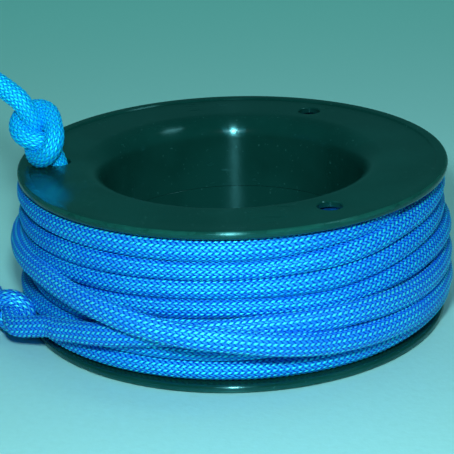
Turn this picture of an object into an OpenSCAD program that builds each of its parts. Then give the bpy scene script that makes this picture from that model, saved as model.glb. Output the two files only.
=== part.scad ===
// Moulded line spool, filled with braided cord.
// Millimetres. The spool stands on its lower flange: its axis is Z and its foot is at z = 0.
// The two mouldings meet half way up. The cord's inner end comes up through a hole in the
// upper flange and is knotted there. Its last turn is tucked under itself and ends in a knot.

/* [Spool] */
// Outside diameter of both flanges
flange_d = 80; // [76:0.5:90]
// Height over both flanges
height = 29.4; // [28:0.2:36]
// Thickness of a flange at its rim band
flange_t = 1.5; // [1.3:0.1:2]
// Diameter of the bore
bore_d = 48.4; // [44:0.2:50]
// Thickness of the hub's wall
hub_wall = 1.8; // [1.6:0.1:2.2]
// Radius of the bore's flared mouths
mouth_r = 4.2; // [3.6:0.1:4.8]

/* [Rim] */
// Width of the raised band at the edge of a flange
rim_w = 2.4; // [1.8:0.1:3]
// How far the band stands above the flange's face
rim_h = 0.3; // [0.2:0.05:0.5]
// Radius that rounds the edge of a flange
edge_r = 0.6; // [0.3:0.05:0.64]

/* [Joint of the mouldings] */
// Length that the lower hub's lip goes into the upper hub
lap_h = 3; // [2:0.2:5]
// Clearance round the lip
lap_gap = 0.05; // [0.02:0.01:0.1]
// Clearance above the lip, seen in the bore as a fine line
seam_gap = 0.15; // [0.1:0.05:0.3]

/* [Line holes] */
// Diameter of a line hole
hole_d = 4.4; // [4.2:0.1:5]
// How far inside the flange's edge the middle of a line hole lies
hole_inset = 7.6; // [5.4:0.2:8.4]
// Number of line holes in the upper flange
hole_count = 3; // [1:1:6]

/* [Winding] */
// Diameter of the cord where it lies free
cord_d = 3.8; // [3.4:0.1:4]
// Room that the laying gives to a turn, as a share of the cord's diameter
turn_share = 0.96; // [0.92:0.01:1]
// Depth of a turn pressed on the layer below, as a share of the cord's diameter
press_share = 0.79; // [0.72:0.01:0.84]
// How far inside the flange's edge the middle of the outer turns lies
turn_inset = 2.1; // [1.8:0.1:3]
// Clearance between the cord and what it lies on
cord_gap = 0.45; // [0.42:0.01:0.5]

/* [Hidden] */
$fn = 96;

plastic = [0.05, 0.24, 0.21];
cord_blue = [0.02, 0.45, 0.92];
core_blue = [0.01, 0.22, 0.62];
sealed_blue = [0.01, 0.12, 0.36];

// Spool
flange_r = flange_d / 2;
bore_r = bore_d / 2;
hub_r = bore_r + hub_wall;
lip_r = bore_r + hub_wall / 2;
web_t = flange_t - rim_h;
root_r = mouth_r - hub_wall;
seam_z = height / 2;
rim_in_r = flange_r - rim_w;
hole_ring_r = flange_r - hole_inset;
// The first line hole carries the knot, on the side of -X
hole_first = 180;

// Layers of the winding, as radii of the middle of a turn
winding_r = flange_r - turn_inset;
turn_w = press_share * cord_d;
ride_step = turn_w + cord_gap;
core_r = winding_r - turn_w / 2 - cord_gap - 0.15;
core_low = flange_t + cord_gap;
core_top = height - flange_t - cord_gap;

// Turns of the outer layer: the first is at the top, and together they fill the room
turn_room = height - 2 * flange_t - cord_gap;
turns = floor(turn_room / (turn_share * cord_d));
turn_pitch = turn_room / turns;
turn_h = turn_pitch - cord_gap;
first_z = height - flange_t - cord_gap - turn_h / 2;
last_z = flange_t + cord_gap + turn_h / 2;
turn_sides = 6;
turn_step = 15;

// Angles run clockwise seen from above, from the front at -Y, and go on counting turn after turn.
// A turn steps down to the next level where it passes the right-hand side.
step_from = 280;
step_to = 340;
buried_at = -60;
buried_level = -1.25;
layer_ends = 360 * (turns - 1) + 90;
tuck_front = 360 * turns;
line_leaves = tuck_front + 360 + 50;

// Stations of the outer layer: angle, level, height of the middle
layer_stations = concat(
    [[buried_at, buried_level, first_z], [buried_at + 15, -1.1, first_z], [0, 0, first_z]],
    [for (n = [0 : turns - 2], s = [[step_from, n], [step_to, n + 1]])
        [360 * n + s[0], 0, first_z - turn_pitch * s[1]]],
    [[layer_ends - 60, 0, last_z], [layer_ends + 15, 0, last_z]]
);

// Stations of the last turn, from the point where it climbs on to the layer below: angle from its
// first pass over the front, level, height as a share of the spool's height. It passes over
// itself at the front, where its end is tucked in.
last_turn_shares = [
    [-195, 1, 0.135], [-120, 1, 0.2], [-80, 1, 0.25], [-50, 1, 0.265], [-36, 1, 0.27],
    [-26, 1.05, 0.285], [-16, 1.45, 0.33], [-7, 1.9, 0.385], [2, 2, 0.42], [12, 2, 0.455],
    [21, 1.85, 0.48], [32, 1.45, 0.51], [45, 1.05, 0.54], [57, 1, 0.565], [80, 1, 0.565],
    [180, 1, 0.51], [270, 1, 0.465], [306, 1, 0.445], [336, 1, 0.44], [352, 1, 0.425],
    [366, 1, 0.395], [378, 1, 0.37], [390, 1, 0.33], [403, 1, 0.27], [410, 1, 0.235], [420, 1, 0.19]
];
last_stations = concat(
    [[layer_ends - 30, 0, last_z], [layer_ends, 0, last_z], [layer_ends + 20, 0.25, last_z]],
    [for (s = last_turn_shares) [tuck_front + s[0], s[1], s[2] * height]]
);

// One station's slope, so that the line between stations never swings past them
function secant(s, k, c) = (s[k + 1][c] - s[k][c]) / (s[k + 1][0] - s[k][0]);
function slope(s, k, c) =
    k == 0 || k == len(s) - 1 ? 0
    : let (before = secant(s, k - 1, c), after = secant(s, k, c))
      before * after <= 0 ? 0 : 2 * before * after / (before + after);
function span_at(s, a) = max([0, for (k = [0 : len(s) - 2]) if (s[k][0] <= a) k]);
function along(s, c, a) =
    let (k = span_at(s, a), w = s[k + 1][0] - s[k][0], t = (a - s[k][0]) / w)
    (1 + 2 * t) * pow(1 - t, 2) * s[k][c] + t * pow(1 - t, 2) * w * slope(s, k, c)
    + t * t * (3 - 2 * t) * s[k + 1][c] + t * t * (t - 1) * w * slope(s, k + 1, c);

// Middle of a wound turn at an angle
function wound(s, a) =
    let (r = winding_r + ride_step * along(s, 1, a))
    [-r * sin(a), -r * cos(a), along(s, 2, a)];

function unit(v) = v / norm(v);
function tangents(p) =
    [for (k = [0 : len(p) - 1]) unit(p[min(k + 1, len(p) - 1)] - p[max(k - 1, 0)])];
// Across-directions carried along a line without twist
function carried(t, n, k = 0) =
    k == len(t) ? [] : let (m = unit(n - (n * t[k]) * t[k])) concat([m], carried(t, m, k + 1));
function outward(p, t) =
    [for (k = [0 : len(p) - 1]) let (n = [p[k].x, p[k].y, 0]) unit(n - (n * t[k]) * t[k])];
function ring(c, t, n, w, h, sides) =
    [for (i = [0 : sides - 1])
        c + n * w / 2 * cos(360 * i / sides) + cross(t, n) * h / 2 * sin(360 * i / sides)];
function rings(p, t, n, w, h, sides) =
    [for (k = [0 : len(p) - 1]) ring(p[k], t[k], n[k], w, h, sides)];

// One closed tube through its rings, all faces triangles
module tube(r) {
    m = len(r[0]);
    last = len(r) - 1;
    polyhedron(
        [for (one = r) for (p = one) p],
        concat(
            [for (i = [1 : m - 2]) [0, i, i + 1]],
            [for (i = [1 : m - 2]) [last * m, last * m + i + 1, last * m + i]],
            [for (k = [0 : last - 1], i = [0 : m - 1]) [k * m + i, k * m + m + i, k * m + (i + 1) % m]],
            [for (k = [0 : last - 1], i = [0 : m - 1])
                [k * m + m + i, k * m + m + (i + 1) % m, k * m + (i + 1) % m]]
        )
    );
}

// Direction of a wound turn at an angle
function heading(s, a) = unit(wound(s, a + 0.1) - wound(s, a - 0.1));
// Rings of a wound stretch. The first and the last run straight for one cord diameter.
function wound_points(s, from, to) =
    let (a = wound(s, from), b = wound(s, to))
    concat([a, a + heading(s, from) * cord_d],
           [for (t = [from + turn_step : turn_step : to - turn_step]) wound(s, t)],
           [b - heading(s, to) * cord_d, b]);
function wound_rings(s, from, to) =
    let (p = wound_points(s, from, to), t = tangents(p))
    rings(p, t, outward(p, t), turn_w, turn_h / cos(180 / turn_sides), turn_sides);

layer_rings = wound_rings(layer_stations, buried_at, layer_ends);
last_rings = wound_rings(last_stations, layer_ends, line_leaves);

// Least distance between the skins of two stretches, on ring corners and the middles of ring edges,
// for rings at least half a turn apart along the cord
function skin(one) = [for (i = [0 : len(one) - 1]) each [one[i], (one[i] + one[(i + 1) % len(one)]) / 2]];
function least(a, b) = min([for (p = a, q = b) norm(p - q)]);
function least_gap(ra, rb, apart) =
    min([for (i = [0 : len(ra) - 1], j = [0 : len(rb) - 1])
        if (j + apart - i > 12 && norm(ra[i][0] - rb[j][0]) < 4 * cord_d) least(skin(ra[i]), skin(rb[j]))]);

// Free stretches: points between them are chosen by hand
// Half of a knot tied once, in cord diameters: advance along the cord's line, distance from it
// and angle round it. The other half is the same, turned end for end.
knot_half = [
    [0, 0.75, 0], [-0.55, 0.97, 45], [-1.05, 1, 88], [-1.15, 1.03, 133],
    [-0.8, 1.13, 180], [-0.15, 0.95, 210], [0.45, 0.35, 235], [1.1, 0.03, 235], [1.4, 0, 235]
];
// Where the cord leaves the knot on either side, straight, in cord diameters
knot_end = 1.7;
// The cord is pulled thin in a knot
knot_d = 0.82 * cord_d;
knot_steps = 3;
free_sides = 8;
// Length of a melted end
tip_l = 1.6;
function knot_points() =
    let (h = [for (s = knot_half) cord_d * [s[0], s[1] * cos(s[2]), -s[1] * sin(s[2])]],
         n = len(h) - 1)
    [for (k = [-n : n]) k < 0 ? [-h[-k].x, h[-k].y, -h[-k].z] : h[k]];
// A smooth line through points, with a few steps between each two
function smooth_at(p, k, t) =
    let (a = p[max(k - 1, 0)], b = p[k], c = p[k + 1], d = p[min(k + 2, len(p) - 1)])
    0.5 * (2 * b + (c - a) * t + (2 * a - 5 * b + 4 * c - d) * t * t + (3 * b - a - 3 * c + d) * pow(t, 3));
function smooth(p, steps) =
    concat([for (k = [0 : len(p) - 2], i = [0 : steps - 1]) smooth_at(p, k, i / steps)], [p[len(p) - 1]]);
// A point of the knot, set with its line along one direction and its open side along another.
// A hand of -1 mirrors it.
function placed(p, c, dir, side, hand) =
    let (u = unit(dir), v = unit(side - (side * u) * u)) c + p.x * u + p.y * v + hand * p.z * cross(u, v);
function knot_line(c, dir, side, hand) =
    let (end = knot_end * cord_d * unit(dir))
    concat([c - end], [for (p = smooth(knot_points(), knot_steps)) placed(p, c, dir, side, hand)], [c + end]);

// Knot on the upper flange: it leans out over the first line hole
anchor_lean = 30;
anchor_dir = [-sin(anchor_lean), 0, cos(anchor_lean)];
anchor_side = [0.85, -0.2, 0.5];
anchor_foot = [-hole_ring_r, 0, height];
// How far the cord comes out of the hole before the knot starts
anchor_rise = 1.6;
anchor_centre = anchor_foot + (anchor_rise + knot_end * cord_d) * anchor_dir;
anchor_out = anchor_centre + knot_end * cord_d * anchor_dir;
// Its tail rises and bends over, as steps from the knot's upper end
tail_over = [
    [-1, 0, 1.2], [-3.2, 0, 2.8], [-6.4, 0, 4.4], [-10.4, 0.2, 5], [-14.4, 0.8, 3.8],
    [-17.6, 1.8, 0.8], [-19.6, 2.8, -3]
];
// Then it comes down to lie on the surface that the spool stands on: x is still a step from the
// knot's upper end, y and z are places
tail_down = [
    [-21.4, 4, 33], [-22, 5.2, 26], [-22.2, 6.6, 19], [-22.2, 9, 12.6], [-22.2, 13.2, 7],
    [-22, 19, 3.4], [-21.8, 25.6, 2.1], [-21.6, 32.6, 2]
];
anchor_route = concat(
    [anchor_out, anchor_out + anchor_dir],
    [for (p = tail_over) anchor_out + p],
    [for (p = tail_down) [anchor_out.x + p.x, p.y, p.z]]
);

// Knot near the end of the line: it lies beside the lower flange, and a short end follows it.
// Places are steps from the point where the line leaves the winding.
line_from = wound(last_stations, line_leaves);
line_dir = heading(last_stations, line_leaves);
running_in = line_from + [-8.9, 6.2, -1.7];
running_dir = unit([-0.38, 0.92, 0.1]);
running_side = [-0.56, -0.31, 0.76];
running_centre = running_in + running_dir * knot_end * cord_d;
running_out = running_centre + running_dir * knot_end * cord_d;
end_steps = [
    [-16, 22, -1], [-18.6, 24.8, -2.8], [-21.6, 26.8, -4.3], [-24.8, 28.1, -4.85], [-27.6, 28.8, -4.85]
];
running_route = concat([running_out, running_out + running_dir], [for (p = end_steps) line_from + p]);

module flange_section() {
    difference() {
        union() {
            translate([bore_r, 0]) square([rim_in_r + rim_h - bore_r, web_t]);
            translate([rim_in_r, 0]) square([rim_w, flange_t]);
            translate([bore_r, -root_r]) square([hub_wall + root_r, root_r + web_t / 2]);
        }
        translate([hub_r + root_r, -root_r]) circle(root_r);
        translate([hub_r + root_r, -2 * root_r]) square([root_r, 2 * root_r]);
        // Slope from the face up to the rim band
        polygon([[rim_in_r - 1, web_t], [rim_in_r, web_t], [rim_in_r + rim_h, flange_t], [rim_in_r - 1, flange_t + 1]]);
        // Rounded edge
        translate([flange_r - edge_r, flange_t - edge_r]) edge_cut(1);
        translate([flange_r - edge_r, edge_r]) edge_cut(-1);
    }
}
// What a rounding of the edge takes off, upwards or downwards
module edge_cut(up) {
    difference() {
        translate([0, up > 0 ? 0 : -edge_r - 1]) square([edge_r + 1, edge_r + 1]);
        circle(edge_r);
    }
}
// One half of the spool standing on its seam plane: the flange is at its top
module half_section(lip) {
    face = seam_z - rim_h;
    difference() {
        union() {
            translate([0, seam_z - flange_t]) flange_section();
            translate([bore_r, 0]) square([hub_wall, seam_z - flange_t]);
            if (lip) translate([lip_r + lap_gap, -lap_h]) square([hub_r - lip_r - lap_gap, lap_h + 0.01]);
        }
        // Flared mouth
        difference() {
            translate([bore_r - 1, face - mouth_r]) square([mouth_r + 1, mouth_r + 1]);
            translate([bore_r + mouth_r, face - mouth_r]) circle(mouth_r);
        }
    }
}

// Upper moulding: its skirt slips over the lower one's lip
module upper_half() {
    color(plastic)
    difference() {
        translate([0, 0, seam_z]) rotate_extrude() half_section(true);
        for (k = [0 : hole_count - 1])
            rotate([0, 0, hole_first + 360 * k / hole_count])
                translate([hole_ring_r, 0, height - 2 * flange_t]) cylinder(d = hole_d, h = 3 * flange_t);
    }
}

// Lower moulding, with the lip
module lower_half() {
    color(plastic)
    difference() {
        translate([0, 0, seam_z]) mirror([0, 0, 1]) rotate_extrude() half_section(false);
        translate([0, 0, seam_z - seam_gap]) cylinder(r = hub_r + 1, h = seam_gap + 1);
        translate([0, 0, seam_z - lap_h])
            difference() {
                cylinder(r = hub_r + 1, h = lap_h + 1);
                translate([0, 0, -1]) cylinder(r = lip_r, h = lap_h + 3);
            }
    }
}

// Inner layers of the cord, as one plain core under the outer layer
module inner_layers() {
    slot_low = first_z - turn_h / 2 - cord_gap;
    slot_r = winding_r + buried_level * ride_step - turn_w / 2 - cord_gap;
    corner = root_r + cord_gap / 2;
    color(core_blue)
    difference() {
        rotate_extrude()
            difference() {
                translate([hub_r + cord_gap, core_low]) square([core_r - hub_r - cord_gap, core_top - core_low]);
                for (z = [core_low, core_top])
                    translate([hub_r + cord_gap, z]) rotate(45) square(corner * 1.3, center = true);
            }
        // Slot that the outer layer's first turn comes up from
        rotate([0, 0, -90])
            rotate_extrude(angle = -buried_at)
                translate([slot_r, slot_low]) square([core_r, core_top]);
    }
}

// Outer layer of turns, one unbroken tube from the buried end down to the lower flange
module outer_winding() {
    echo(outer_winding_least_gap_mm = least_gap(layer_rings, layer_rings, 0));
    color(cord_blue) tube(layer_rings);
}

// Last turn: it climbs on to the outer layer, goes round twice and is tucked under itself
module last_turn() {
    echo(last_turn_least_gap_mm = least_gap(last_rings, last_rings, 0));
    echo(last_turn_to_outer_winding_mm = least_gap(layer_rings, last_rings, len(layer_rings) - 1));
    color(cord_blue) tube(last_rings);
}

// Free stretch through hand-chosen points
function free_rings(p, side, d) = let (t = tangents(p)) rings(p, t, carried(t, side), d, d, free_sides);

// Knot that keeps the inner end from slipping back through its line hole
module anchor_knot() {
    line = knot_line(anchor_centre, anchor_dir, anchor_side, 1);
    lead = [[anchor_foot.x, 0, core_top], [anchor_foot.x, 0, height - flange_t]];
    color(cord_blue) tube(free_rings(concat(lead, line), [0, 1, 0], knot_d));
}

module anchor_tail() {
    color(cord_blue) tube(free_rings(anchor_route, [0, 1, 0], cord_d));
}

// Free stretch between the winding and the knot at its end
module running_end() {
    line = [line_from, line_from + line_dir * cord_d, running_in - running_dir * cord_d / 2, running_in];
    color(cord_blue) tube(free_rings(line, [0, 0, 1], cord_d));
}

module running_knot() {
    line = knot_line(running_centre, running_dir, running_side, -1);
    color(cord_blue) tube(free_rings(line, [0, 0, 1], knot_d));
}

module running_tail() {
    color(cord_blue) tube(free_rings(running_route, [0, 0, 1], cord_d));
}

// Melted end of a cord, past the last of its route's points
module sealed_tip(route) {
    n = len(route);
    dir = unit(route[n - 1] - route[n - 2]);
    color(sealed_blue)
    translate(route[n - 1]) rotate([0, acos(dir.z), atan2(dir.y, dir.x)])
        rotate_extrude()
            intersection() {
                square([cord_d, tip_l]);
                translate([0, tip_l - cord_d / 2]) circle(cord_d / 2);
            }
}
module anchor_tip() sealed_tip(anchor_route);
module running_tip() sealed_tip(running_route);

upper_half();
lower_half();
inner_layers();
outer_winding();
last_turn();
anchor_knot();
anchor_tail();
anchor_tip();
running_end();
running_knot();
running_tail();
running_tip();
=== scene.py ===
import bpy
import numpy as np
from mathutils import Matrix


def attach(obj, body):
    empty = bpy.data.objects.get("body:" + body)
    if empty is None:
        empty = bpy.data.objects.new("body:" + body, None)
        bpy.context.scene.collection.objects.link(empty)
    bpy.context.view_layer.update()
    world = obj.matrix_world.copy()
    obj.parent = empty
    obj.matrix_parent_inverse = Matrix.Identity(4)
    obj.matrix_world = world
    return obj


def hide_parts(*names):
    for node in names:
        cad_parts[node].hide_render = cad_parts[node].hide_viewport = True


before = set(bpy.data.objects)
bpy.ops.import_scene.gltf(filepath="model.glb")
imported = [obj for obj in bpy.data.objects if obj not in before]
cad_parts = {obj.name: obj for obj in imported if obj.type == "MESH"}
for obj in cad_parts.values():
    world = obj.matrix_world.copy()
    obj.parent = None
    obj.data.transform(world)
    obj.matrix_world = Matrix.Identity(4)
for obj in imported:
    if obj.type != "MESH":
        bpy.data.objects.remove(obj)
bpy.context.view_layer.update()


# ---------------------------------------------------------------------------
# Lower half of the spool: a flange, half of the hub and the thin lip that the upper half is
# pressed over. It is injection moulded from dark green polystyrene, and stands on the raised band
# of its rim. Lengths are in millimetres here and in metres in materials, lights and the camera.
# ---------------------------------------------------------------------------
flange_r = 40.0
height = 29.4
flange_t = 1.5
rim_h = 0.3
rim_in_r = 37.6
edge_r = 0.6
bore_r = 24.2
hub_r = 26.0
mouth_r = 4.2
root_r = 2.4
edge_in_r = flange_r - edge_r
seam_z = 14.7
lap_h = 3.0
lip_r = 25.1
section_steps = 384


def arc(r, z, radius, start, end, steps):
    """Points of a section (r, z) on an arc about a centre, between two angles in degrees."""
    a = np.radians(np.linspace(start, end, steps))
    return np.stack([r + radius * np.cos(a), z + radius * np.sin(a)], 1)


def new_mesh(name, points, quads, tris=None, uvs=None):
    """A mesh object from points in millimetres, four-cornered faces, three-cornered faces, and one
    UV pair for each corner in the same order."""
    tris = np.zeros((0, 3), int) if tris is None else tris
    corners = np.concatenate([quads.ravel(), tris.ravel()]).astype(np.int32)
    sizes = np.concatenate([np.full(len(quads), 4), np.full(len(tris), 3)])
    mesh = bpy.data.meshes.new(name)
    mesh.vertices.add(len(points))
    mesh.vertices.foreach_set("co", (points * 0.001).astype(np.float32).ravel())
    mesh.loops.add(len(corners))
    mesh.loops.foreach_set("vertex_index", corners)
    mesh.polygons.add(len(sizes))
    mesh.polygons.foreach_set("loop_start", (np.cumsum(sizes) - sizes).astype(np.int32))
    if uvs is not None:
        layer = mesh.uv_layers.new(name="weave")
        layer.data.foreach_set("uv", uvs.astype(np.float32).ravel())
    mesh.update(calc_edges=True)
    piece = bpy.data.objects.new(name, mesh)
    bpy.context.scene.collection.objects.link(piece)
    return piece


def lathe(name, profile, steps=section_steps):
    """A closed section turned about Z: the point at angle a is (r cos a, r sin a, z). The section
    runs anticlockwise in (r, z), so that the faces point outwards."""
    a = np.arange(steps) * 2 * np.pi / steps
    m = len(profile)
    points = np.empty((steps, m, 3))
    points[..., 0] = profile[:, 0] * np.cos(a)[:, None]
    points[..., 1] = profile[:, 0] * np.sin(a)[:, None]
    points[..., 2] = profile[:, 1]
    j, i = np.meshgrid(np.arange(steps), np.arange(m), indexing="ij")
    after, beside = (j + 1) % steps, (i + 1) % m
    quads = np.stack([j * m + i, after * m + i, after * m + beside, j * m + beside], -1)
    return new_mesh(name, points.reshape(-1, 3), quads.reshape(-1, 4))


def node(tree, kind, inputs=None, **settings):
    """Adds a node. A socket given for an input is joined to it, and anything else is set on it."""
    made = tree.nodes.new(kind)
    for key, value in settings.items():
        setattr(made, key, value)
    for key, value in (inputs or {}).items():
        if isinstance(value, bpy.types.NodeSocket):
            tree.links.new(value, made.inputs[key])
        else:
            made.inputs[key].default_value = value
    return made


def maths(tree, operation, a, b=None, c=None):
    """The output of a Math node on up to three sockets or numbers."""
    given = {k: v for k, v in enumerate((a, b, c)) if v is not None}
    return node(tree, "ShaderNodeMath", given, operation=operation).outputs[0]


def spread_to(tree, value, low, high, to_low, to_high):
    """A value from one range carried smoothly to another."""
    inputs = {"Value": value, "From Min": low, "From Max": high,
              "To Min": to_low, "To Max": to_high}
    return node(tree, "ShaderNodeMapRange", inputs, interpolation_type="SMOOTHSTEP").outputs[0]


def noise(tree, place, scale, detail=3.0):
    """Noise of a given scale at a place."""
    inputs = {"Vector": place, "Scale": scale, "Detail": detail}
    return node(tree, "ShaderNodeTexNoise", inputs).outputs["Fac"]


def blended(tree, share, first, second):
    """A mix of two colours, each a socket or four numbers."""
    inputs = {"Factor": share, 6: first, 7: second}
    return node(tree, "ShaderNodeMix", inputs, data_type="RGBA").outputs[2]


def new_material(name):
    """A material with an empty Principled BSDF, and its tree, shader and object coordinates."""
    material = bpy.data.materials.new(name)
    material.use_nodes = True
    tree = material.node_tree
    tree.nodes.clear()
    shader = node(tree, "ShaderNodeBsdfPrincipled")
    out = node(tree, "ShaderNodeOutputMaterial")
    tree.links.new(shader.outputs[0], out.inputs[0])
    return material, tree, shader, node(tree, "ShaderNodeTexCoord").outputs["Object"]


def green_moulding():
    """Glossy dark green plastic: faint flow clouds, small scuffs and specks, outer corners duller
    with wear and painted paler as a highlight, a slight waviness of the skin, turning marks that
    draw the gloss out, and the round marks that the ejector pins leave on the upper face."""
    material, tree, shader, place = new_material("green_moulding")
    clouds = noise(tree, place, 70.0, 3.0)
    hue = blended(tree, spread_to(tree, clouds, 0.3, 0.7, 0.0, 1.0),
                  (0.0012, 0.030, 0.024, 1), (0.0022, 0.042, 0.035, 1))
    # Scuffs: thin streaks of noise drawn out along X
    drawn = node(tree, "ShaderNodeMapping", {"Vector": place, "Scale": (160.0, 900.0, 500.0),
                                             "Rotation": (0.0, 0.0, 0.5)}).outputs[0]
    streaks = spread_to(tree, noise(tree, drawn, 1.0, 2.0), 0.62, 0.75, 0.0, 1.0)
    patches = spread_to(tree, noise(tree, place, 45.0, 2.0), 0.45, 0.7, 0.0, 1.0)
    scuffs = maths(tree, "MULTIPLY", streaks, patches)
    specks = spread_to(tree, noise(tree, place, 1500.0, 1.0), 0.70, 0.78, 0.0, 1.0)
    # Ejector pin marks: shallow round dimples, at places in metres on the upper face
    dimples = 0.0
    for pin in ((-0.0246, -0.0216, 0.0291), (-0.0253, -0.0126, 0.0291), (-0.0159, -0.0264, 0.0291)):
        away = node(tree, "ShaderNodeVectorMath", {0: place, 1: pin},
                    operation="DISTANCE").outputs["Value"]
        dimples = maths(tree, "ADD", dimples, spread_to(tree, away, 0.0005, 0.0011, 1.0, 0.0))
    tint = blended(tree, maths(tree, "MULTIPLY", specks, 0.35), hue, (0.03, 0.16, 0.15, 1))
    # Handling has dulled the flanges' outer corners with wear; they are painted paler as a
    # highlight
    at = node(tree, "ShaderNodeSeparateXYZ", {0: place})
    x_squared = maths(tree, "MULTIPLY", at.outputs["X"], at.outputs["X"])
    y_squared = maths(tree, "MULTIPLY", at.outputs["Y"], at.outputs["Y"])
    out = maths(tree, "SQRT", maths(tree, "ADD", x_squared, y_squared))
    from_seam = maths(tree, "ABSOLUTE", maths(tree, "SUBTRACT", at.outputs["Z"], 0.0147))
    corners = maths(tree, "MULTIPLY", spread_to(tree, out, 0.0394, 0.0398, 0.0, 1.0),
                    spread_to(tree, from_seam, 0.0139, 0.0143, 0.0, 1.0))
    wear_and_highlight_patches = spread_to(tree, noise(tree, place, 260.0, 3.0), 0.35, 0.6, 0.2, 0.6)
    wear_and_highlight = maths(tree, "MULTIPLY", corners, wear_and_highlight_patches)
    # The corners' paler colour is a painted highlight; their dullness below is wear
    tint = blended(tree, wear_and_highlight, tint, (0.006, 0.085, 0.066, 1))
    tree.links.new(tint, shader.inputs["Base Color"])
    wear = maths(tree, "ADD", maths(tree, "MULTIPLY", scuffs, 0.22),
                 maths(tree, "MULTIPLY", wear_and_highlight, 0.3))
    dull = maths(tree, "ADD", spread_to(tree, clouds, 0.3, 0.75, 0.15, 0.22), wear)
    tree.links.new(dull, shader.inputs["Roughness"])
    wave = maths(tree, "ADD", maths(tree, "MULTIPLY", noise(tree, place, 130.0, 2.0), 0.5),
                 maths(tree, "MULTIPLY", noise(tree, place, 1100.0, 2.0), 0.05))
    marks = maths(tree, "ADD", wave, maths(tree, "MULTIPLY", dimples, -0.35))
    relief = maths(tree, "ADD", marks, maths(tree, "MULTIPLY", scuffs, -0.04))
    bump = node(tree, "ShaderNodeBump", {"Height": relief, "Strength": 0.5, "Distance": 0.00035})
    tree.links.new(bump.outputs[0], shader.inputs["Normal"])
    # Turning marks of the mould, round the spool's axis, draw the gloss out across them
    turned = node(tree, "ShaderNodeTangent", direction_type="RADIAL", axis="Z")
    tree.links.new(turned.outputs[0], shader.inputs["Tangent"])
    shader.inputs["Anisotropic"].default_value = 1.0
    shader.inputs["Anisotropic Rotation"].default_value = 0.25
    shader.inputs["IOR"].default_value = 1.58
    shader.inputs["Specular Tint"].default_value = (0.2, 0.9, 1.0, 1)
    shader.inputs["Coat Weight"].default_value = 0.05
    shader.inputs["Coat Roughness"].default_value = 0.2
    return material


green = green_moulding()
lower_section = np.concatenate([
    arc(edge_in_r, edge_r, edge_r, -90, 0, 9),
    arc(edge_in_r, flange_t - edge_r, edge_r, 0, 90, 9),
    [[35.0, flange_t], [31.5, flange_t]],
    arc(hub_r + root_r, flange_t + root_r, root_r, 270, 180, 12),
    [[hub_r, 11.6], [hub_r - 0.1, seam_z - lap_h], [lip_r, seam_z - lap_h],
     [lip_r, 14.53], [lip_r - 0.1, 14.63], [bore_r + 0.04, 14.66], [bore_r, 14.62]],
    arc(bore_r + mouth_r, rim_h + mouth_r, mouth_r, 180, 270, 26),
    [[32.0, rim_h], [rim_in_r - 0.1, rim_h], [rim_in_r + 0.05, rim_h - 0.03],
     [rim_in_r + 0.26, 0.03], [rim_in_r + 0.4, 0.0]],
])
lower = lathe("lower_moulding", lower_section)
lower.data.shade_smooth()
lower.data.set_sharp_from_angle(angle=np.radians(35))
lower.data.materials.append(green)
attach(lower, "root")
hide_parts("lower_half")


# ---------------------------------------------------------------------------
# Upper half of the spool: the same moulding the other way up, with a skirt over the lower one's
# lip and three line holes beside its rim. The cord's inner end comes up through the hole at -X.
# ---------------------------------------------------------------------------
hole_r = 2.2
hole_ring_r = 32.4
hole_flare = 0.18
hole_sides = 48
web_z = height - rim_h

upper_section = np.concatenate([
    [[lip_r + 0.05, seam_z], [lip_r + 0.05, 11.8], [lip_r + 0.15, seam_z - lap_h],
     [hub_r - 0.1, seam_z - lap_h], [hub_r, 11.8]],
    arc(hub_r + root_r, height - flange_t - root_r, root_r, 180, 90, 12),
    [[31.5, height - flange_t], [35.0, height - flange_t]],
    arc(edge_in_r, height - flange_t + edge_r, edge_r, -90, 0, 9),
    arc(edge_in_r, height - edge_r, edge_r, 0, 90, 9),
    [[rim_in_r + 0.4, height], [rim_in_r + 0.26, height - 0.03], [rim_in_r + 0.05, web_z + 0.03],
     [rim_in_r - 0.1, web_z], [35.2, web_z], [31.2, web_z]],
    arc(bore_r + mouth_r, web_z - mouth_r, mouth_r, 90, 180, 26),
    [[bore_r, seam_z + 0.07], [bore_r + 0.07, seam_z]],
])
upper = lathe("upper_moulding", upper_section)


def rings_closed(rings, sides):
    """Faces of a stack of rings of points: four-cornered ones between each ring and the next, and
    three-cornered ones to the two points after the rings, which close the first and the last."""
    k, i = np.meshgrid(np.arange(rings - 1), np.arange(sides), indexing="ij")
    beside = (i + 1) % sides
    quads = np.stack([k * sides + i, k * sides + beside,
                      (k + 1) * sides + beside, (k + 1) * sides + i], -1).reshape(-1, 4)
    i, beside = i[0], beside[0]
    last, after = (rings - 1) * sides, rings * sides
    tris = np.concatenate([np.stack([np.full(sides, after), beside, i], 1),
                           np.stack([np.full(sides, after + 1), last + i, last + beside], 1)])
    return quads, tris


def drill(piece, x, y, low, top, radius, flare):
    """Takes a round hole with slightly broken edges out of a piece: the cutter's radius grows by
    the flare over its last part at either end."""
    depth = np.array([low - 1, low, low + flare, top - flare, top, top + 1])
    wide = radius + np.array([flare + 0.2, flare, 0, 0, flare, flare + 0.2])
    a = np.arange(hole_sides) * 2 * np.pi / hole_sides
    side = np.stack([x + np.outer(wide, np.cos(a)), y + np.outer(wide, np.sin(a)),
                     np.repeat(depth[:, None], hole_sides, 1)], -1).reshape(-1, 3)
    points = np.concatenate([side, [[x, y, depth[0]], [x, y, depth[-1]]]])
    cutter = new_mesh("cutter", points, *rings_closed(len(depth), hole_sides))
    cut = piece.modifiers.new("hole", "BOOLEAN")
    cut.object = cutter
    cut.operation = "DIFFERENCE"
    cut.solver = "EXACT"
    view = bpy.context.evaluated_depsgraph_get()
    view.update()
    done = bpy.data.meshes.new_from_object(piece.evaluated_get(view))
    piece.modifiers.clear()
    piece.data = done
    bpy.data.objects.remove(cutter)


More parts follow.
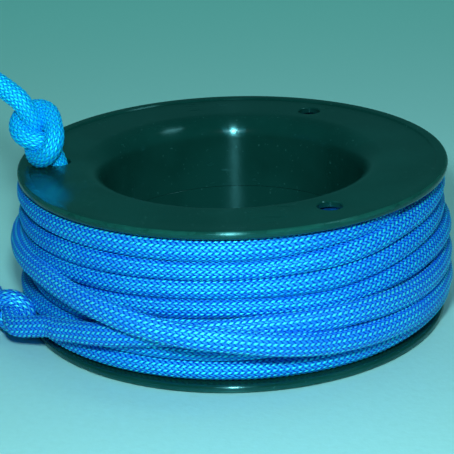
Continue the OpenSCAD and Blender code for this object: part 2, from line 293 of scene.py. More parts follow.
for hole_angle in np.radians([180, 300, 60]):
    drill(upper, hole_ring_r * np.cos(hole_angle), hole_ring_r * np.sin(hole_angle),
          height - flange_t, web_z, hole_r, hole_flare)
upper.data.materials.clear()
upper.data.materials.append(green)
upper.data.shade_smooth()
upper.data.set_sharp_from_angle(angle=np.radians(35))
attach(upper, "root")
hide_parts("upper_half")


# ---------------------------------------------------------------------------
# Inner layers of cord: braided nylon cord of 3.8 mm, wound turn beside turn from the hub outwards.
# Only slits of them show between the outer turns, so they are one grooved and woven drum.
# ---------------------------------------------------------------------------
cord_d = 3.8
columns = 22
pick = 1.06
lean = 0.38
uv_picks = 24.0


def weave_height(u, v):
    """Height of the braid, from 0 in a crevice to 1 on a strand's crown. u counts half columns
    round the cord and v counts picks along it. Strands lean one way in even columns and the other
    way in odd ones, half a pick later, and dive under at both edges of their column."""
    column = np.floor(u)
    x = u - column
    odd = column % 2
    p = v + (1 - 2 * odd) * lean * (x - 0.5) + 0.5 * odd
    f = p - np.floor(p)
    crown = np.maximum(1 - (2 * f - 1) ** 2, 0) ** 0.75
    return crown * (1 - 0.6 * np.abs(2 * x - 1) ** 3) * (1 - 0.25 * odd)


def weave_group():
    """The same braid as a shader group. In: a place on the weave's UV map, the half columns round
    the cord, and the share of the odd columns' painted highlight and shine that is hidden. Out:
    the height, masks of the crowns' painted highlight and of the crevices' painted shade, and a
    number of its own for each strand that shows."""
    group = bpy.data.node_groups.new("cord_weave", "ShaderNodeTree")
    group.interface.new_socket(name="Place", in_out="INPUT", socket_type="NodeSocketVector")
    for name in ("Columns", "Hidden"):
        group.interface.new_socket(name=name, in_out="INPUT", socket_type="NodeSocketFloat")
    for name in ("Height", "Crown highlight and shine", "Crevice shade", "Strand"):
        group.interface.new_socket(name=name, in_out="OUTPUT", socket_type="NodeSocketFloat")
    start = group.nodes.new("NodeGroupInput")
    end = group.nodes.new("NodeGroupOutput")
    place = node(group, "ShaderNodeSeparateXYZ", {0: start.outputs["Place"]})
    u = maths(group, "MULTIPLY", place.outputs["X"], start.outputs["Columns"])
    v = maths(group, "MULTIPLY", place.outputs["Y"], uv_picks)
    column = maths(group, "FLOOR", u)
    x = maths(group, "SUBTRACT", u, column)
    odd = maths(group, "FLOORED_MODULO", column, 2.0)
    side = maths(group, "MULTIPLY_ADD", odd, -2.0, 1.0)
    across = maths(group, "MULTIPLY", maths(group, "SUBTRACT", x, 0.5), lean)
    p = maths(group, "ADD", maths(group, "MULTIPLY_ADD", side, across, v),
              maths(group, "MULTIPLY", odd, 0.5))
    number = maths(group, "FLOOR", p)
    q = maths(group, "MULTIPLY_ADD", maths(group, "SUBTRACT", p, number), 2.0, -1.0)
    round_off = maths(group, "SUBTRACT", 1.0, maths(group, "MULTIPLY", q, q))
    crown = maths(group, "POWER", maths(group, "MAXIMUM", round_off, 0.0), 0.75)
    edge = maths(group, "ABSOLUTE", maths(group, "MULTIPLY_ADD", x, 2.0, -1.0))
    dive = maths(group, "MULTIPLY_ADD", maths(group, "POWER", edge, 3.0), -0.6, 1.0)
    high = maths(group, "MULTIPLY", maths(group, "MULTIPLY", crown, dive),
                 maths(group, "MULTIPLY_ADD", odd, -0.25, 1.0))
    # Filaments run along each strand
    fine = maths(group, "MULTIPLY", maths(group, "SINE", maths(group, "MULTIPLY", q, 14.0)), 0.035)
    group.links.new(maths(group, "ADD", high, fine), end.inputs["Height"])
    off_middle = maths(group, "ABSOLUTE", q)
    ridge = maths(group, "MULTIPLY", spread_to(group, off_middle, 0.25, 0.75, 1.0, 0.0),
                  spread_to(group, edge, 0.75, 1.0, 1.0, 0.3))
    # Yarns that lean one way lie a little lower, and a share of their shine and of the painted
    # highlight on their crowns is hidden
    kept_highlight_and_shine = maths(group, "SUBTRACT", 1.0, maths(group, "MULTIPLY", odd, start.outputs["Hidden"]))
    group.links.new(maths(group, "MULTIPLY", ridge, kept_highlight_and_shine), end.inputs["Crown highlight and shine"])
    # A mask of the crevices, where shade is painted
    group.links.new(spread_to(group, high, 0.05, 0.45, 1.0, 0.0), end.inputs["Crevice shade"])
    own = node(group, "ShaderNodeCombineXYZ", {0: column, 1: number})
    strand = node(group, "ShaderNodeTexWhiteNoise", {"Vector": own.outputs[0]},
                  noise_dimensions="3D")
    group.links.new(strand.outputs["Value"], end.inputs["Strand"])
    return group


cord_weave = weave_group()


def blue_braid(name, crown, body, crevice, hidden=0.6):
    """Bright blue braided nylon: deep blue yarns with shade painted dark into the crevices and a
    highlight painted pale on the crowns, which also shine almost like metal, each strand a little
    lighter or darker, and slow changes along the cord."""
    material, tree, shader, place = new_material(name)
    at = node(tree, "ShaderNodeUVMap", uv_map="weave").outputs[0]
    weave = node(tree, "ShaderNodeGroup", {}, node_tree=cord_weave)
    tree.links.new(at, weave.inputs["Place"])
    weave.inputs["Columns"].default_value = columns
    weave.inputs["Hidden"].default_value = hidden
    slow = spread_to(tree, noise(tree, place, 160.0, 2.0), 0.3, 0.7, 0.0, 1.0)
    shade = maths(tree, "ADD", maths(tree, "MULTIPLY", weave.outputs["Strand"], 0.35),
                  maths(tree, "MULTIPLY_ADD", slow, 0.25, 0.5))
    shine = maths(tree, "MULTIPLY", weave.outputs["Crown highlight and shine"], shade)
    # Painted highlight: the crowns are painted pale; the same mask makes them shine like metal
    yarn = blended(tree, shine, body, crown)
    tree.links.new(maths(tree, "MULTIPLY", shine, 0.5), shader.inputs["Metallic"])
    # Painted shade: the crevices are painted dark
    tint = blended(tree, weave.outputs["Crevice shade"], yarn, crevice)
    tree.links.new(tint, shader.inputs["Base Color"])
    rough = spread_to(tree, weave.outputs["Strand"], 0.0, 1.0, 0.40, 0.52)
    tree.links.new(rough, shader.inputs["Roughness"])
    bump = node(tree, "ShaderNodeBump", {"Height": weave.outputs["Height"], "Strength": 0.8,
                                         "Distance": 0.00012})
    tree.links.new(bump.outputs[0], shader.inputs["Normal"])
    shader.inputs["IOR"].default_value = 1.6
    shader.inputs["Specular IOR Level"].default_value = 1.0
    shader.inputs["Specular Tint"].default_value = (0.04, 0.9, 1.0, 1)
    return material


# crown: the colour of the painted highlight on the crowns; crevice: the painted shade's colour
braid = blue_braid("blue_braid", crown=(0.03, 0.88, 1.0, 1), body=(0.0, 0.05, 0.72, 1),
                   crevice=(0.0, 0.006, 0.26, 1))
# Running cord: the same cord's colours painted a little lighter, as painted light
painted_lit_loose_braid = blue_braid("painted_lit_loose_braid", crown=(0.06, 1.0, 1.0, 1), body=(0.0, 0.085, 0.82, 1),
                         crevice=(0.0, 0.008, 0.30, 1), hidden=0.76)
# Anchor cord and its knot: the same cord's colours painted much lighter, as painted light
painted_lit_drawn_braid = blue_braid("painted_lit_drawn_braid", crown=(0.01, 0.80, 1.0, 1), body=(0.0, 0.36, 1.0, 1),
                         crevice=(0.0, 0.10, 0.65, 1))
# Inner layers: the same cord's colours painted darker, as painted shade deep between the outer
# turns
painted_shade_core_braid = blue_braid("painted_shade_inner_braid", crown=(0.004, 0.16, 0.62, 1), body=(0.002, 0.10, 0.50, 1),
                        crevice=(0.001, 0.02, 0.24, 1))

core_low = 1.95
core_top = 27.45
core_steps = 720
core_pitch = 3.68
core_turn_r = 35.3
core_z = np.linspace(core_low, core_top, 92)
groove = (core_z - 1.8) / core_pitch
bulge = np.sqrt(np.maximum(1 - (2 * (groove - np.floor(groove)) - 1) ** 2, 0))
core_wall = np.stack([34.6 + 0.9 * bulge, core_z], 1)
core_section = np.concatenate([
    core_wall, [[29.2, core_top], [26.45, 24.9], [26.45, 4.5], [29.2, core_low]]])
core = lathe("inner_turns", core_section, core_steps)
around = core.data.uv_layers.new(name="weave")
corner = np.zeros(len(core.data.loops), np.int32)
core.data.loops.foreach_get("vertex_index", corner)
ring_of, step_of = corner // len(core_section), corner % len(core_section)
# The last face of each ring closes on the first one: its far corners count on
ring_of = ring_of.reshape(-1, 4)
ring_of[(ring_of[:, 0] == core_steps - 1) & (ring_of[:, 1] == 0), 1:3] = core_steps
core_picks = ring_of.ravel() / core_steps * 2 * np.pi * core_turn_r / pick
run = np.stack([core_section[step_of, 1] / (columns * 0.5), core_picks / uv_picks], 1)
around.data.foreach_set("uv", run.astype(np.float32).ravel())
core.data.shade_smooth()
core.data.set_sharp_from_angle(angle=np.radians(50))
core.data.materials.append(painted_shade_core_braid)
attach(core, "root")
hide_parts("inner_layers")


# ---------------------------------------------------------------------------
# Outer layer of the winding: seven turns of the same cord, pressed against each other and between
# the flanges. The cord comes up from the layer below at the right of the front and works its way
# down; each turn is a piece, and they meet at the back.
# ---------------------------------------------------------------------------
turns = 7
turn_deep = 3.85
turn_gap = 0.02
rings_per_pick = 4
twist = 0.0006
weave_relief = 0.2


def smooth_stations(stations, at):
    """Values at many angles from a few stations (angle, value, ...): cubic pieces whose slope at a
    station is the harmonic mean of the slopes on both sides, so that nothing overshoots."""
    s = np.asarray(stations, float)
    x = s[:, 0]
    made = []
    for y in s[:, 1:].T:
        secant = np.diff(y) / np.diff(x)
        both = secant[:-1] * secant[1:]
        total = secant[:-1] + secant[1:]
        slope = np.zeros(len(x))
        slope[1:-1] = np.where(both > 0, 2 * both / np.where(both > 0, total, 1), 0)
        k = np.clip(np.searchsorted(x, at, side="right") - 1, 0, len(x) - 2)
        w = x[k + 1] - x[k]
        t = np.clip((at - x[k]) / w, 0, 1)
        made.append((1 + 2 * t) * (1 - t) ** 2 * y[k] + t * (1 - t) ** 2 * w * slope[k]
                    + t * t * (3 - 2 * t) * y[k + 1] + t * t * (t - 1) * w * slope[k + 1])
    return made


def length_along(points):
    """Distance along a line at each of its points."""
    return np.concatenate([[0], np.cumsum(np.linalg.norm(np.diff(points, axis=0), axis=1))])


def line_at(at, measure, points):
    """Places on a line at given values of a measure that grows along it, such as its length."""
    return np.stack([np.interp(at, measure, points[:, k]) for k in range(3)], 1)


def directions(points):
    """Unit direction of a line at each of its points."""
    d = np.gradient(points, axis=0)
    return d / np.linalg.norm(d, axis=1, keepdims=True)


def square_to(across, along):
    """Across-directions made square to the line and of unit length."""
    across = across - (across * along).sum(1, keepdims=True) * along
    return across / np.linalg.norm(across, axis=1, keepdims=True)


def braided_tube(name, points, across, deep, wide, squareness, picks, samples, crowd, material):
    """A braided cord round a line. At angle a the section lies at cos(a)^(2/e) half its depth along
    the across-direction and sin(a)^(2/e) half its width beside it, where e is the squareness: 2 is
    an ellipse. The braid's height is added along the section's normal. Samples crowd together on
    the across side. Both ends are closed by a shallow dome."""
    along = directions(points)
    across = square_to(across, along)
    beside = np.cross(along, across)
    t = np.arange(samples) * 2 * np.pi / samples
    a = t - crowd * np.sin(t)
    c, s = np.cos(a)[None], np.sin(a)[None]
    e = (2 / squareness)[:, None]
    x = np.sign(c) * np.abs(c) ** e * deep[:, None] / 2
    y = np.sign(s) * np.abs(s) ** e * wide[:, None] / 2
    nx = np.sign(c) * np.abs(c) ** (2 - e) / deep[:, None]
    ny = np.sign(s) * np.abs(s) ** (2 - e) / wide[:, None]
    size = np.hypot(nx, ny)
    nx, ny = nx / size, ny / size
    steps = np.hypot(np.roll(x, -1, 1) - x, np.roll(y, -1, 1) - y)
    share = (np.cumsum(steps, 1) - steps) / steps.sum(1, keepdims=True)
    share = share + (twist * picks)[:, None]
    high = weave_relief * (weave_height(share * columns, picks[:, None]) - 0.75)
    x, y = x + nx * high, y + ny * high
    skin = points[:, None] + x[..., None] * across[:, None] + y[..., None] * beside[:, None]
    caps = np.stack([points[0] - along[0] * 0.5, points[-1] + along[-1] * 0.5])
    quads, tris = rings_closed(len(points), samples)
    full = np.concatenate([share, share[:, :1] + 1], 1)
    place = np.stack([full, np.repeat(picks[:, None] / uv_picks, samples + 1, 1)], -1)
    side_uv = np.stack([place[:-1, :-1], place[:-1, 1:], place[1:, 1:], place[1:, :-1]], 2)
    middle = (place[:, :-1] + place[:, 1:]) / 2
    first_uv = np.stack([middle[0], place[0, 1:], place[0, :-1]], 1)
    last_uv = np.stack([middle[-1], place[-1, :-1], place[-1, 1:]], 1)
    uvs = np.concatenate([uv.reshape(-1, 2) for uv in (side_uv, first_uv, last_uv)])
    piece = new_mesh(name, np.concatenate([skin.reshape(-1, 3), caps]), quads, tris, uvs)
    piece.data.shade_smooth()
    piece.data.materials.append(material)
    return piece


def around_spool(angle, radius, z):
    """Points at angles that run clockwise from the front, seen from above."""
    a = np.radians(angle)
    return np.stack([-radius * np.sin(a), -radius * np.cos(a), z], 1)


# Lower edge of each turn, which is the upper edge of the next: the angle counts on turn after turn
lower_edges = (
    (-90, 27.3), (-60, 26.6), (-48, 26.2), (-36, 24.9), (-24, 24.2), (0, 23.35), (45, 23.35),
    (65, 22.85), (180, 22.9), (280, 22.9), (300, 22.1), (312, 21.4), (322, 20.8), (336, 20.4),
    (360, 20.3), (405, 19.45), (425, 19.2), (540, 18.8), (640, 18.6), (660, 18.1), (672, 17.5),
    (684, 16.8), (696, 16.45), (720, 16.8), (765, 15.95), (785, 15.7), (900, 14.8), (1000, 14.1),
    (1032, 13.6), (1044, 13.2), (1056, 12.9), (1080, 13.3), (1125, 12.3), (1260, 11.6),
    (1360, 11.2), (1416, 9.7), (1440, 9.3), (1485, 9.1), (1620, 8.3), (1740, 6.9), (1800, 5.35),
    (1845, 5.3), (1980, 4.6), (2070, 3.0), (2130, 1.72), (2260, 1.7)
)
layer_angle = np.linspace(-78, 2250, 9000)
(edge_low,) = smooth_stations(lower_edges, layer_angle)
(edge_above,) = smooth_stations(lower_edges, layer_angle - 360)
edge_above = np.where(layer_angle < 285, 27.6, np.minimum(edge_above, 27.6))
turn_w = np.clip(edge_above - edge_low, 3.35, 4.1)
turn_z = np.where(layer_angle < 100, edge_above - turn_w / 2, (edge_above + edge_low) / 2)
(turn_r,) = smooth_stations(
    ((-78, 33.9), (-60, 34.6), (-50, 35.5), (-40, 36.4), (-28, 37.2), (-10, 37.55), (90, 38.3),
     (180, 38.2), (270, 37.6), (360, 37.6), (450, 38.4), (540, 38.2), (630, 37.7), (720, 37.6),
     (810, 38.4), (900, 38.0), (990, 39.2), (1035, 38.0), (1065, 37.6), (1080, 37.6), (1170, 37.4),
     (1260, 37.2), (1350, 36.2), (1400, 36.9), (1440, 37.5), (1530, 37.4), (1620, 37.0),
     (1710, 36.2), (1770, 37.0), (1800, 37.6), (1845, 38.2), (1890, 39.1), (1980, 38.4),
     (2070, 39.2), (2115, 38.2), (2160, 37.6), (2205, 38.0), (2250, 39.1)), layer_angle)
wander = 0.12 * np.sin(np.radians(layer_angle * 1.7)) * np.sin(np.radians(layer_angle * 0.43 + 40))
layer_line = around_spool(layer_angle, turn_r + wander, turn_z)
layer_length = length_along(layer_line)
layer_picks = np.arange(0, int(layer_length[-1] / pick * rings_per_pick)) / rings_per_pick
ring_angle = np.interp(layer_picks * pick, layer_length, layer_angle)
ring_line = line_at(ring_angle, layer_angle, layer_line)
ring_across = around_spool(ring_angle, np.ones(len(ring_angle)), np.zeros(len(ring_angle)))
ring_wide = np.interp(ring_angle, layer_angle, turn_w) - turn_gap
for n in range(turns):
    first = np.searchsorted(ring_angle, 360 * n - 180)
    last = np.searchsorted(ring_angle, 360 * n + 180)
    cut = slice(max(first - 1, 0), last)
    count = len(ring_angle[cut])
    turn = braided_tube(
        f"outer_turn_{n + 1}", ring_line[cut], ring_across[cut], np.full(count, turn_deep),
        ring_wide[cut], np.full(count, 2.0), layer_picks[cut], samples=60, crowd=0.42,
        material=braid)
    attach(turn, "root")
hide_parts("outer_winding")


# ---------------------------------------------------------------------------
# Running end of the cord: it climbs on to the outer layer, goes round, crosses over itself at the
# front and is tucked under that crossing. It leaves the spool at the front left, has a knot tied in
# it beside the lower flange, and ends in a short melted tail on the table.
# ---------------------------------------------------------------------------
def resampled(points, step):
    """The line again with points evenly spaced, about a step apart."""
    s = length_along(points)
    at = np.linspace(0, s[-1], int(round(s[-1] / step)) + 1)
    return line_at(at, s, points)


def through(points, steps=12):
    """A smooth line through points: Catmull-Rom pieces."""
    p = np.asarray(points, float)
    p = np.concatenate([[2 * p[0] - p[1]], p, [2 * p[-1] - p[-2]]])
    t = (np.arange(steps) / steps)[:, None]
    a, b, c, d = (q[:, None] for q in (p[:-3], p[1:-2], p[2:-1], p[3:]))
    curve = 0.5 * (2 * b + (c - a) * t + (2 * a - 5 * b + 4 * c - d) * t ** 2
                   + (3 * b - a - 3 * c + d) * t ** 3)
    return np.concatenate([curve.reshape(-1, 3), p[-2:-1]])


def eased(points, reach):
    """The line with its corners eased: each point moves to the mean of those within reach of it,
    and both ends stay."""
    line = points.copy()
    for n in range(reach):
        line[1:-1] = 0.25 * line[:-2] + 0.5 * line[1:-1] + 0.25 * line[2:]
    return line


def tied_knot(d, count=121, steps=3200, pull=0.10, squeezed=0.8):
    """The middle line of an overhand knot pulled tight. A loose knot's line is drawn out at both
    ends while its points keep their spacing, keep a cord's diameter from each other and resist
    bending. Towards the end the cord gives, and its strands come as close as the squeezed share of
    its diameter. It is given with its ends along X and its open side along Y."""
    t = np.linspace(-2.25, 2.25, 400)
    loose = np.stack([0.1575 * (t ** 5 - 10 * t), t ** 4 - 4 * t ** 2, t ** 3 - 3 * t], 1)
    line = resampled(loose, 0.01)
    line = line[np.linspace(0, len(line) - 1, count).round().astype(int)]
    seg = 0.22 * d
    line *= seg / np.linalg.norm(np.diff(line, axis=0), axis=1).mean()
    i, j = np.triu_indices(count, 8)
    for n in range(steps):
        apart = d * min(1.0, 0.45 + 0.55 * n / (0.35 * steps))
        apart *= 1 - (1 - squeezed) * max(0.0, n / steps - 0.6) / 0.4
        u = line[-1] - line[0]
        u /= np.linalg.norm(u)
        line[0] -= pull * u
        line[-1] += pull * u
        for _ in range(6):
            v = np.diff(line, axis=0)
            size = np.linalg.norm(v, axis=1, keepdims=True)
            back = 0.475 * (size - seg) / size * v
            line[:-1] += back
            line[1:] -= back
            line[1:-1] += 0.05 * (0.5 * (line[2:] + line[:-2]) - line[1:-1])
            v = line[j] - line[i]
            size = (v * v).sum(1)
            near = size < apart ** 2
            if near.any():
                size = np.sqrt(size[near])[:, None]
                push = 0.25 * (apart - size) / size * v[near]
                np.add.at(line, j[near], push)
                np.add.at(line, i[near], -push)
    line -= line.mean(0)
    u = line[-1] - line[0]
    u /= np.linalg.norm(u)
    y = line[count // 2] - 0.5 * (line[0] + line[-1])
    y -= (y @ u) * u
    y /= np.linalg.norm(y)
    return np.stack([line @ u, line @ y, line @ np.cross(u, y)], 1)


def placed_knot(centre, along, side, hand=1, size=1.0, reach=5.4):
    """The tied knot with its line along one direction and its open side along another. A hand of -1
    is its mirror image. Only the stretch within reach of its middle is kept."""
    u = np.array(along, float)
    u /= np.linalg.norm(u)
    v = np.array(side, float)
    v -= (v @ u) * u
    v /= np.linalg.norm(v)
    line = size * knot_shape[np.abs(knot_shape[:, 0]) < reach]
    return centre + line[:, :1] * u + line[:, 1:2] * v + hand * line[:, 2:] * np.cross(u, v)


def carried(across, along):
    """Across-directions carried along a line without twist, from the first one given."""
    made = np.empty_like(along)
    now = across
    for k in range(len(along)):
        now = now - (now @ along[k]) * along[k]
        now = now / np.linalg.norm(now)
        made[k] = now
    return made


free_d = 3.9
pressed = 0.6
spread = 0.3
knot_pinch = 0.5
knot_reach, knot_fade = 8.0, 2.5
climb_length = 40.0
release_length = 12.0
running_rings_per_pick = 3
route_step, route_ease = 0.3, 10
knot_shape = tied_knot(cord_d)
last_stations = (
    (-270, 39.1, 3.58), (-250, 39.3, 3.6), (-195, 39.9, 4.2), (-120, 39.8, 6.0), (-90, 39.7, 7.2),
    (-70, 39.9, 7.3), (-52, 40.4, 7.35), (-38, 40.8, 7.65), (-23, 41.5, 8.4), (-10, 43.0, 10.1),
    (0, 43.6, 11.5), (10, 43.8, 12.4), (18, 43.6, 13.15), (33, 42.3, 14.45), (46, 41.2, 15.3),
    (57, 40.8, 16.0), (90, 40.5, 15.9), (180, 40.3, 14.2), (270, 39.5, 11.7), (300, 39.7, 11.4),
    (320, 40.2, 12.0), (336, 40.4, 12.4), (352, 40.4, 12.4), (362, 40.4, 12.0), (371, 40.4, 11.4),
    (379, 40.5, 10.8), (386.6, 40.8, 10.1), (392.3, 40.9, 9.3), (397, 40.9, 8.65),
    (401.3, 40.9, 8.1), (405.8, 41.0, 7.5), (410, 41.3, 6.95)
)
last_angle = np.linspace(-270, 410, 2721)
last_r, last_z = smooth_stations(last_stations, last_angle)
last_line = around_spool(last_angle, last_r, last_z)
line_from = last_line[-1]
line_dir = last_line[-1] - last_line[-2]
line_dir /= np.linalg.norm(line_dir)
running_dir = np.array([-0.38, 0.92, 0.1])
running_dir /= np.linalg.norm(running_dir)
running_centre = line_from + [-8.9, 6.2, -1.45] + running_dir * 6.46
running_knot = placed_knot(running_centre, running_dir, (-0.56, -0.31, 0.76), -1)
end_steps = ([-16, 22, -1], [-18.6, 24.8, -2.8], [-21.6, 26.8, -4.3], [-24.8, 28.1, -4.85],
             [-27.6, 28.8, -4.85])
running_route = np.concatenate([
    last_line,
    through(np.stack([line_from + line_dir * 2, running_knot[0] - running_dir * 2,
                      running_knot[0]]))[:-1],
    running_knot,
    through(np.stack([running_knot[-1] + running_dir, *(line_from + np.array(end_steps))])),
])
running_line = eased(resampled(running_route, route_step), route_ease)
running_length = length_along(running_line)[-1]
rings = int(running_length / pick * running_rings_per_pick) + 1
running_picks = layer_picks[-1] + np.arange(rings) / running_rings_per_pick
at = (running_picks - running_picks[0]) * pick
ring_points = line_at(at, length_along(running_line), running_line)
wound_length = length_along(last_line)[-1]
on_spool = np.clip((wound_length - at) / release_length, 0, 1)
climbing = np.clip(at / climb_length, 0, 1)
outwards = ring_points * [1, 1, 0]
along = directions(ring_points)
last_wound = np.searchsorted(at, wound_length)
ring_out = square_to(outwards[:last_wound], along[:last_wound])
ring_out = np.concatenate([ring_out, carried(ring_out[-1], along[last_wound:])])
from_knot = np.linalg.norm(ring_points - running_centre, axis=1)
in_knot = np.clip((knot_reach - from_knot) / knot_fade, 0, 1)
deep = free_d - pressed * climbing * on_spool - knot_pinch * in_knot
wide = free_d + spread * climbing * on_spool - knot_pinch * in_knot
running = braided_tube("running_cord", ring_points, ring_out, deep, wide, 2.0 + 0.1 * on_spool,
                       running_picks, samples=58, crowd=0.22, material=painted_lit_loose_braid)
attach(running, "root")
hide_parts("last_turn", "running_end", "running_knot", "running_tail")


def melted_end():
    """Nylon melted and pressed into a hard dark dome: glossy, slightly lumpy."""
    material, tree, shader, place = new_material("melted_end")
    lumps = noise(tree, place, 900.0, 3.0)
    tint = blended(tree, lumps, (0.001, 0.03, 0.20, 1), (0.004, 0.09, 0.42, 1))
    tree.links.new(tint, shader.inputs["Base Color"])
    tree.links.new(spread_to(tree, lumps, 0.3, 0.7, 0.18, 0.4), shader.inputs["Roughness"])
    bump = node(tree, "ShaderNodeBump", {"Height": lumps, "Strength": 0.6, "Distance": 0.0003})
    tree.links.new(bump.outputs[0], shader.inputs["Normal"])
    shader.inputs["IOR"].default_value = 1.53
    return material


def sealed_tip(name, end, along, across):
    """A melted end: a short neck and a flattened dome, its radius the square root of what is left
    of its length, with a few low lumps round it."""
    t = np.linspace(0, 1, tip_rings + 1)
    a = np.arange(tip_sides) * 2 * np.pi / tip_sides
    reach = 1.7 * t - 0.3
    radius = tip_r * np.sqrt(np.maximum(1 - np.clip((t - 0.2) / 0.8, 0, 1) ** 2.6, 0))
    lumps = 1 + 0.05 * np.sin(3 * a + 0.7) + 0.03 * np.sin(5 * a)
    beside = np.cross(along, across)
    circle = np.cos(a)[:, None] * across + np.sin(a)[:, None] * beside
    skin = end + reach[:-1, None, None] * along + (radius[:-1, None] * lumps)[..., None] * circle
    points = np.concatenate([skin.reshape(-1, 3),
                             [end + reach[0] * along, end + reach[-1] * along]])
    piece = new_mesh(name, points, *rings_closed(tip_rings, tip_sides))
    piece.data.shade_smooth()
    piece.data.materials.append(melted)
    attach(piece, "root")
    return piece


tip_r = 1.86
tip_sides = 40
tip_rings = 14
melted = melted_end()
running_tip = sealed_tip("running_tip_melted", ring_points[-1], along[-1], ring_out[-1])
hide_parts("running_tip")


# ---------------------------------------------------------------------------
# Inner end of the cord: it comes up through the line hole at -X and is knotted there, so that it
# can't slip back. Its tail bends over beside the spool and comes down to the table.
# ---------------------------------------------------------------------------
drawn_d = 3.98
drawn_pinch = 0.3
hole_pinch, hole_reach, hole_fade = 0.35, 5.0, 2.0
anchor_lean = np.radians(30)
anchor_dir = np.array([-np.sin(anchor_lean), 0, np.cos(anchor_lean)])
anchor_foot = np.array([-hole_ring_r, 0, height])
anchor_out = anchor_foot + 14.52 * anchor_dir
anchor_centre = np.array([-34.5, -1.25, 35.85])
anchor_knot = placed_knot(anchor_centre, (-0.511, -0.098, 0.854), (0.85, -0.19, 0.49), 1, 1.08)[3:]
tail_over = ([-3.2, 0, 2.8], [-6.4, 0, 4.4], [-10.4, 0.2, 5], [-14.4, 0.8, 3.8],
             [-17.6, 1.8, 0.8], [-19.6, 2.8, -3])
tail_down = ([-21.4, 4, 33], [-22, 5.2, 26], [-22.2, 6.6, 19], [-22.2, 9, 12.6], [-22.2, 13.2, 7],
             [-22, 19, 3.4], [-21.8, 25.6, 2.1], [-21.6, 32.6, 2])
anchor_route = np.concatenate([
    through(np.stack([anchor_foot - [0.1, 0, 1.9], anchor_foot - [0.3, 0.1, 0],
                      anchor_knot[0]]))[:-1],
    anchor_knot,
    through(np.concatenate([[anchor_knot[-1] + [-0.9, 0.2, 1.3]],
                            anchor_out + np.array(tail_over),
                            [[anchor_out[0] + x, y, z] for x, y, z in tail_down]])),
])
anchor_line = eased(resampled(anchor_route, route_step), route_ease)
anchor_length = length_along(anchor_line)[-1]
anchor_picks = np.arange(int(anchor_length / pick * rings_per_pick) + 1) / rings_per_pick
at = anchor_picks * pick
ring_points = line_at(at, length_along(anchor_line), anchor_line)
along = directions(ring_points)
ring_out = carried(np.array([0.0, -1.0, 0.0]), along)
from_knot = np.linalg.norm(ring_points - anchor_centre, axis=1)
in_knot = np.clip((knot_reach - from_knot) / knot_fade, 0, 1)
in_hole = np.clip((hole_reach - at) / hole_fade, 0, 1)
thick = drawn_d - drawn_pinch * in_knot - hole_pinch * in_hole
anchor = braided_tube("anchor_cord", ring_points, ring_out, thick, thick, np.full(len(at), 2.0),
                      anchor_picks, samples=96, crowd=0.0, material=painted_lit_drawn_braid)
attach(anchor, "root")
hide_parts("anchor_knot", "anchor_tail")
anchor_tip = sealed_tip("anchor_tip_melted", ring_points[-1], along[-1], ring_out[-1])
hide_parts("anchor_tip")


# ---------------------------------------------------------------------------
# Pale table, soft studio light and the camera.
# ---------------------------------------------------------------------------
def pale_table():
    """Smooth pale blue-green card, greener towards the back. Its colour is painted darker at the
    front and lighter from under the spool back, as painted light and shade that make up for how
    the lamps light it.
    """
    material, tree, shader, place = new_material("pale_table")
    cloud = noise(tree, place, 700.0, 3.0)
    back = node(tree, "ShaderNodeSeparateXYZ", {0: place}).outputs["Y"]
    near_tint = blended(tree, cloud, (0.21, 0.62, 0.63, 1), (0.24, 0.68, 0.70, 1))
    # Painted light and shade: darker in front, lighter from under the spool on to the back
    under = spread_to(tree, back, -0.04, 0.04, 0.0, 1.0)
    beyond = spread_to(tree, back, 0.04, 0.30, 0.0, 1.0)
    tint = blended(tree, under, near_tint, (0.30, 0.92, 0.92, 1))
    tint = blended(tree, beyond, tint, (0.23, 1.0, 0.92, 1))
    tree.links.new(tint, shader.inputs["Base Color"])
    fine = node(tree, "ShaderNodeBump", {"Height": noise(tree, place, 900.0, 2.0), "Strength": 0.15,
                                         "Distance": 0.0004})
    tree.links.new(fine.outputs[0], shader.inputs["Normal"])
    shader.inputs["Roughness"].default_value = 0.6
    return material


table_corners = np.array([[-900.0, -900, 0], [900, -900, 0], [900, 900, 0], [-900, 900, 0]])
table = new_mesh("table", table_corners, np.array([[0, 1, 2, 3]]))
table.data.materials.append(pale_table())


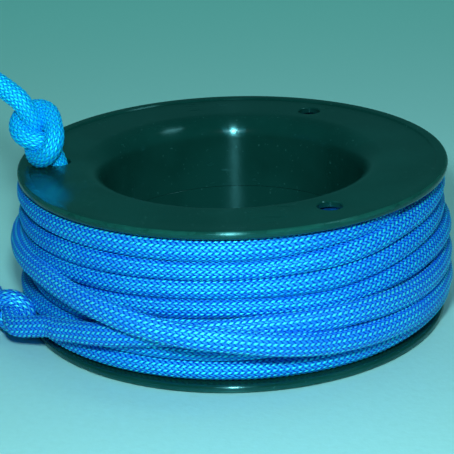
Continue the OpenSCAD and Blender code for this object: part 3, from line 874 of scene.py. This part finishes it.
def soft_box(name, place, aim, size, power, colour=(1, 1, 1)):
    """A square area lamp at a place in metres, turned to face another."""
    lamp = bpy.data.lights.new(name, "AREA")
    lamp.shape = "RECTANGLE"
    lamp.size, lamp.size_y = size
    lamp.energy = power
    lamp.color = colour
    holder = bpy.data.objects.new(name, lamp)
    bpy.context.scene.collection.objects.link(holder)
    back = np.array(place, float) - np.array(aim, float)
    back /= np.linalg.norm(back)
    right = np.cross([0, 0.02, 1], back)
    right /= np.linalg.norm(right)
    turn = np.eye(4)
    turn[:3, 0], turn[:3, 1], turn[:3, 2], turn[:3, 3] = right, np.cross(back, right), back, place
    holder.matrix_world = Matrix(turn)
    return holder


overhead = soft_box("overhead", (0.0, 0.36, 0.66), (0, 0.10, 0), (0.8, 0.8), 1.5)
overhead.visible_glossy = False
key = soft_box("key", (0.085, -0.175, 0.125), (0, 0, 0.015), (0.04, 0.04), 0.07)
key.visible_glossy = False
soft_box("side", (0.34, -0.10, 0.50), (0, 0, 0.01), (0.12, 0.12), 0.2)
soft_box("flash", (-0.009, -0.19, 0.123), (0, 0, 0.015), (0.018, 0.018), 0.41)
# A faint ring of light round the flash shows only in the gloss
glow = soft_box("glow", (-0.009, -0.192, 0.124), (0, 0, 0.015), (0.07, 0.07), 0.06,
                colour=(0.3, 0.88, 1.0))
glow.visible_diffuse = False

world = bpy.data.worlds.new("room")
bpy.context.scene.world = world
world.use_nodes = True
room = world.node_tree
sky = room.nodes["Background"]
path = node(room, "ShaderNodeLightPath")
seen = maths(room, "MAXIMUM", path.outputs["Is Camera Ray"], path.outputs["Is Glossy Ray"])
room.links.new(blended(room, seen, (0.015, 0.02, 0.02, 1), (0.02, 0.13, 0.12, 1)),
               sky.inputs["Color"])
sky.inputs["Strength"].default_value = 1.0

aim = np.array([-0.00136, 0, 0.01496])
distance = 0.28348
elevation, roll = np.radians(21.08), np.radians(1.81)
right = np.array([1.0, 0, 0])
up = np.array([0, np.sin(elevation), np.cos(elevation)])
back = np.array([0, -np.cos(elevation), np.sin(elevation)])
eye = aim + back * distance
turn = np.eye(4)
turn[:3, 0] = right * np.cos(roll) - up * np.sin(roll)
turn[:3, 1] = right * np.sin(roll) + up * np.cos(roll)
turn[:3, 2] = back
turn[:3, 3] = eye
lens = bpy.data.cameras.new("camera")
lens.sensor_width = 36.0
lens.lens = 117.9
lens.clip_start = 0.01
camera = bpy.data.objects.new("camera", lens)
camera.matrix_world = Matrix(turn)
bpy.context.scene.collection.objects.link(camera)
bpy.context.scene.camera = camera
bpy.context.scene.view_settings.view_transform = "Standard"
